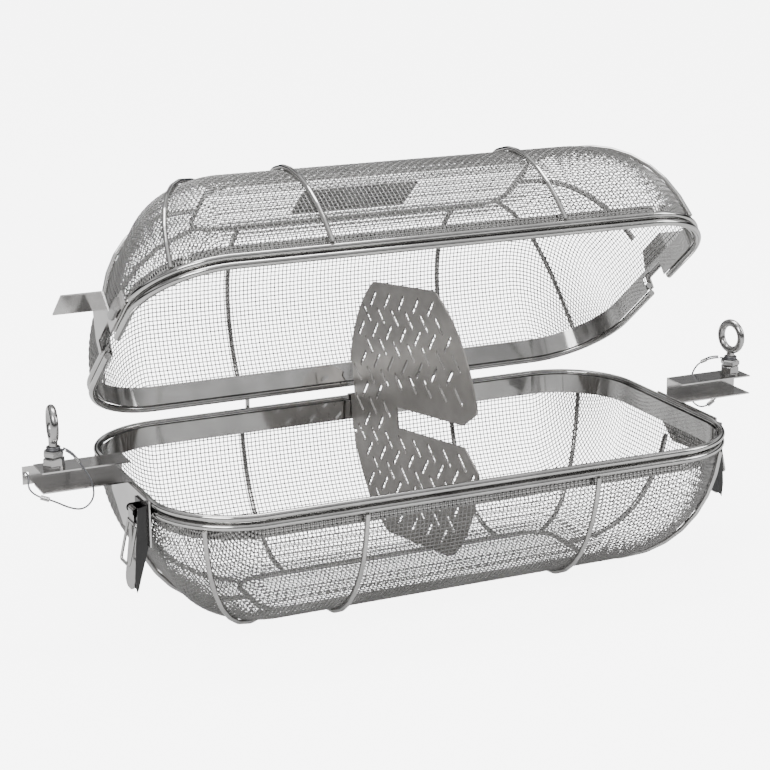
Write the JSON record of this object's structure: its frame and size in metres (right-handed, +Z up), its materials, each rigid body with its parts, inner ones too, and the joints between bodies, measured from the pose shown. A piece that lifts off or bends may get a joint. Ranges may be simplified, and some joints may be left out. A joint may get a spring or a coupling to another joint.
{
  "type": "rotisserie grill basket",
  "caption": "Two-part wire mesh rotisserie basket with a hinged lid, a perforated divider, end latches and eye bolts that clamp a spit rod.",
  "frame": {"origin": "on the spit rod's axis, half way along the basket: the middle of the two rod channels' inner height", "axes": "+X along the spit rod to the right as seen from the front, -Y the front where the lid opens, +Z up"},
  "size_m": [0.576, 0.2627, 0.3102],
  "materials": {
    "polished_steel": "polished stainless wire and rod",
    "mesh_steel": "woven stainless wire cloth",
    "sheet_steel": "brushed stainless sheet",
    "plate_steel": "stainless sheet, satin",
    "bolt_steel": "bright stainless turned and forged fittings",
    "cable_steel": "stranded steel cable"
  },
  "bodies": {
    "lower": {"hinge_posts": "polished_steel", "left_end_plate": "sheet_steel", "left_latch_base": "sheet_steel", "left_lever_pin": "polished_steel", "left_rod_channel": "sheet_steel", "left_tether": "cable_steel", "left_tether_sleeve": "bolt_steel", "left_weld_nut": "bolt_steel", "lower_band": "sheet_steel", "lower_base_ring": "polished_steel", "lower_corner_ribs": "polished_steel", "lower_cross_ribs": "polished_steel", "lower_end_ribs": "polished_steel", "lower_mesh": "mesh_steel", "lower_rim_tube": "polished_steel", "lower_rim_wire": "polished_steel", "right_end_plate": "sheet_steel", "right_latch_base": "sheet_steel", "right_lever_pin": "polished_steel", "right_rod_channel": "sheet_steel", "right_tether": "cable_steel", "right_tether_sleeve": "bolt_steel", "right_weld_nut": "bolt_steel"},
    "lid": {"hinge_lugs": "sheet_steel", "hinge_pins": "polished_steel", "left_catch": "sheet_steel", "left_lid_end_plate": "sheet_steel", "lid_band": "sheet_steel", "lid_base_ring": "polished_steel", "lid_centre_plate": "sheet_steel", "lid_corner_ribs": "polished_steel", "lid_cross_ribs": "polished_steel", "lid_end_ribs": "polished_steel", "lid_mesh": "mesh_steel", "lid_rim_tube": "polished_steel", "lid_rim_wire": "polished_steel", "right_catch": "sheet_steel", "right_lid_end_plate": "sheet_steel"},
    "divider": {"divider_clip": "plate_steel", "divider_plate": "plate_steel"},
    "left_lever": {"left_lever": "sheet_steel"},
    "right_lever": {"right_lever": "sheet_steel"},
    "left_bail": {"left_bail": "polished_steel"},
    "right_bail": {"right_bail": "polished_steel"},
    "left_collar": {"left_tether_collar": "cable_steel"},
    "right_collar": {"right_tether_collar": "cable_steel"},
    "left_bolt": {"left_eye_bolt": "bolt_steel", "left_jam_nut": "bolt_steel"},
    "right_bolt": {"right_eye_bolt": "bolt_steel", "right_jam_nut": "bolt_steel"}
  },
  "joints": [
    {"name": "lid_hinge", "type": "hinge", "parent": "lower", "child": "lid", "pos_m": [0, 0.1227, 0.00475], "axis": [1, 0, 0], "range_deg": [-61.1, 38.87]},
    {"name": "divider_tilt", "type": "hinge", "parent": "lower", "child": "divider", "pos_m": [0, 0.1157, -0.01005], "axis": [1, 0, 0], "range_deg": [-12.6, 8.01]},
    {"name": "left_lever_pivot", "type": "hinge", "parent": "lower", "child": "left_lever", "pos_m": [-0.2296, -0.047, -0.017], "axis": [0, 1, 0], "range_deg": [0, 150]},
    {"name": "left_bail_pivot", "type": "hinge", "parent": "left_lever", "child": "left_bail", "pos_m": [-0.2305, -0.047, -0.025], "axis": [0, -1, 0], "range_deg": [-175, 0]},
    {"name": "left_collar_travel", "type": "slide", "parent": "lower", "child": "left_collar", "axis": [0, 0, 1], "range_m": [0, 0.002]},
    {"name": "left_bolt_turn", "type": "hinge", "parent": "left_collar", "child": "left_bolt", "pos_m": [-0.2715, -0.0066, 0.0374], "axis": [0, 0, 1], "range_deg": [0, 720]},
    {"name": "right_lever_pivot", "type": "hinge", "parent": "lower", "child": "right_lever", "pos_m": [0.2296, -0.047, -0.017], "axis": [0, -1, 0], "range_deg": [0, 150]},
    {"name": "right_bail_pivot", "type": "hinge", "parent": "right_lever", "child": "right_bail", "pos_m": [0.2305, -0.047, -0.025], "axis": [0, 1, 0], "range_deg": [-175, 0]},
    {"name": "right_collar_travel", "type": "slide", "parent": "lower", "child": "right_collar", "axis": [0, 0, 1], "range_m": [0, 0.002]},
    {"name": "right_bolt_turn", "type": "hinge", "parent": "right_collar", "child": "right_bolt", "pos_m": [0.2715, -0.0066, 0.0374], "axis": [0, 0, 1], "range_deg": [0, 720]}
  ],
  "couplings": [
    {"joint": "divider_tilt", "follows": "lid_hinge", "ratio": 0.2058},
    {"joint": "left_bolt_turn", "follows": "left_collar_travel", "rad_per_m": 6283.2},
    {"joint": "right_bolt_turn", "follows": "right_collar_travel", "rad_per_m": 6283.2}
  ]
}
